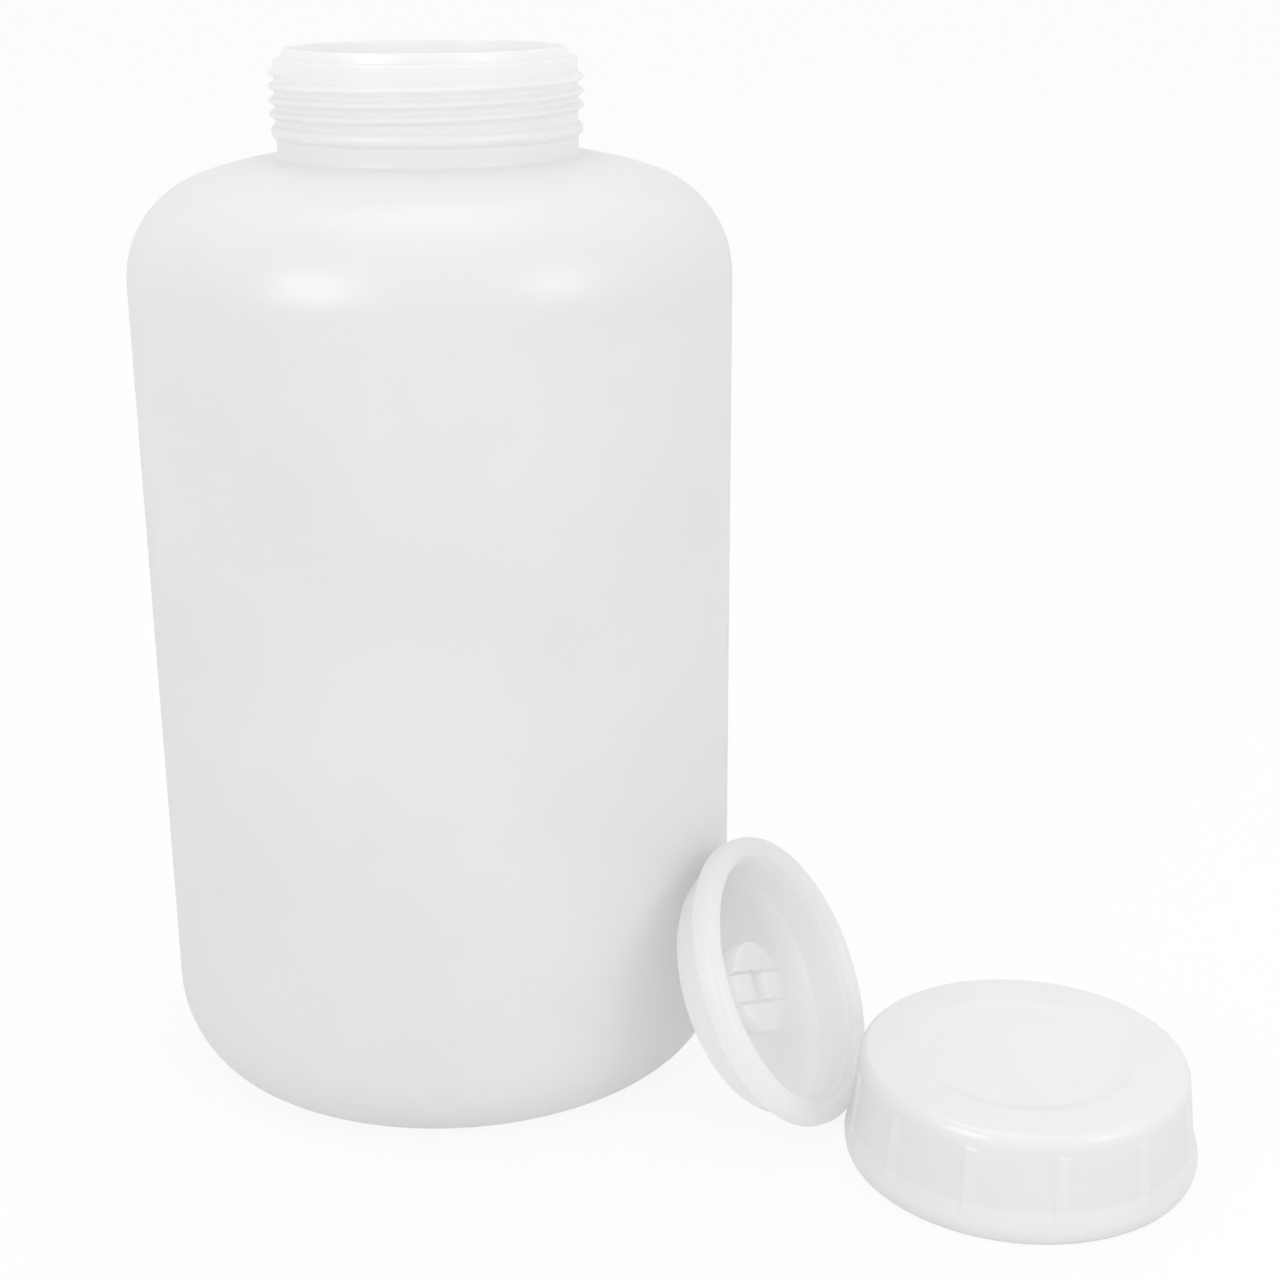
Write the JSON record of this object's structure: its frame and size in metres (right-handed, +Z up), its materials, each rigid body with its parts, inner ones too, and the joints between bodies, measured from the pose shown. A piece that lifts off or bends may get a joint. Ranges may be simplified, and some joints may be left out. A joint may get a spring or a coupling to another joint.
{
  "type": "plastic storage jar",
  "caption": "Wide-mouth translucent plastic storage jar with its screw cap lying beside it and its cup-shaped inner plug leaning on it.",
  "frame": {"origin": "on the bottle's axis, on the surface that it stands on", "axes": "+Z up along the bottle's axis; -Y towards the viewer, +X to the right, with the plug and the cap in front and to the right of the bottle"},
  "size_m": [0.2114, 0.1691, 0.216],
  "materials": {
    "bottle_plastic": "translucent milky white, satin, blow-moulded",
    "plug_plastic": "translucent milky white, satin, injection-moulded",
    "cap_plastic": "white, satin, injection-moulded"
  },
  "bodies": {
    "root": {"bottle": "bottle_plastic", "inner_plug": "plug_plastic", "screw_cap": "cap_plastic"}
  },
  "joints": []
}
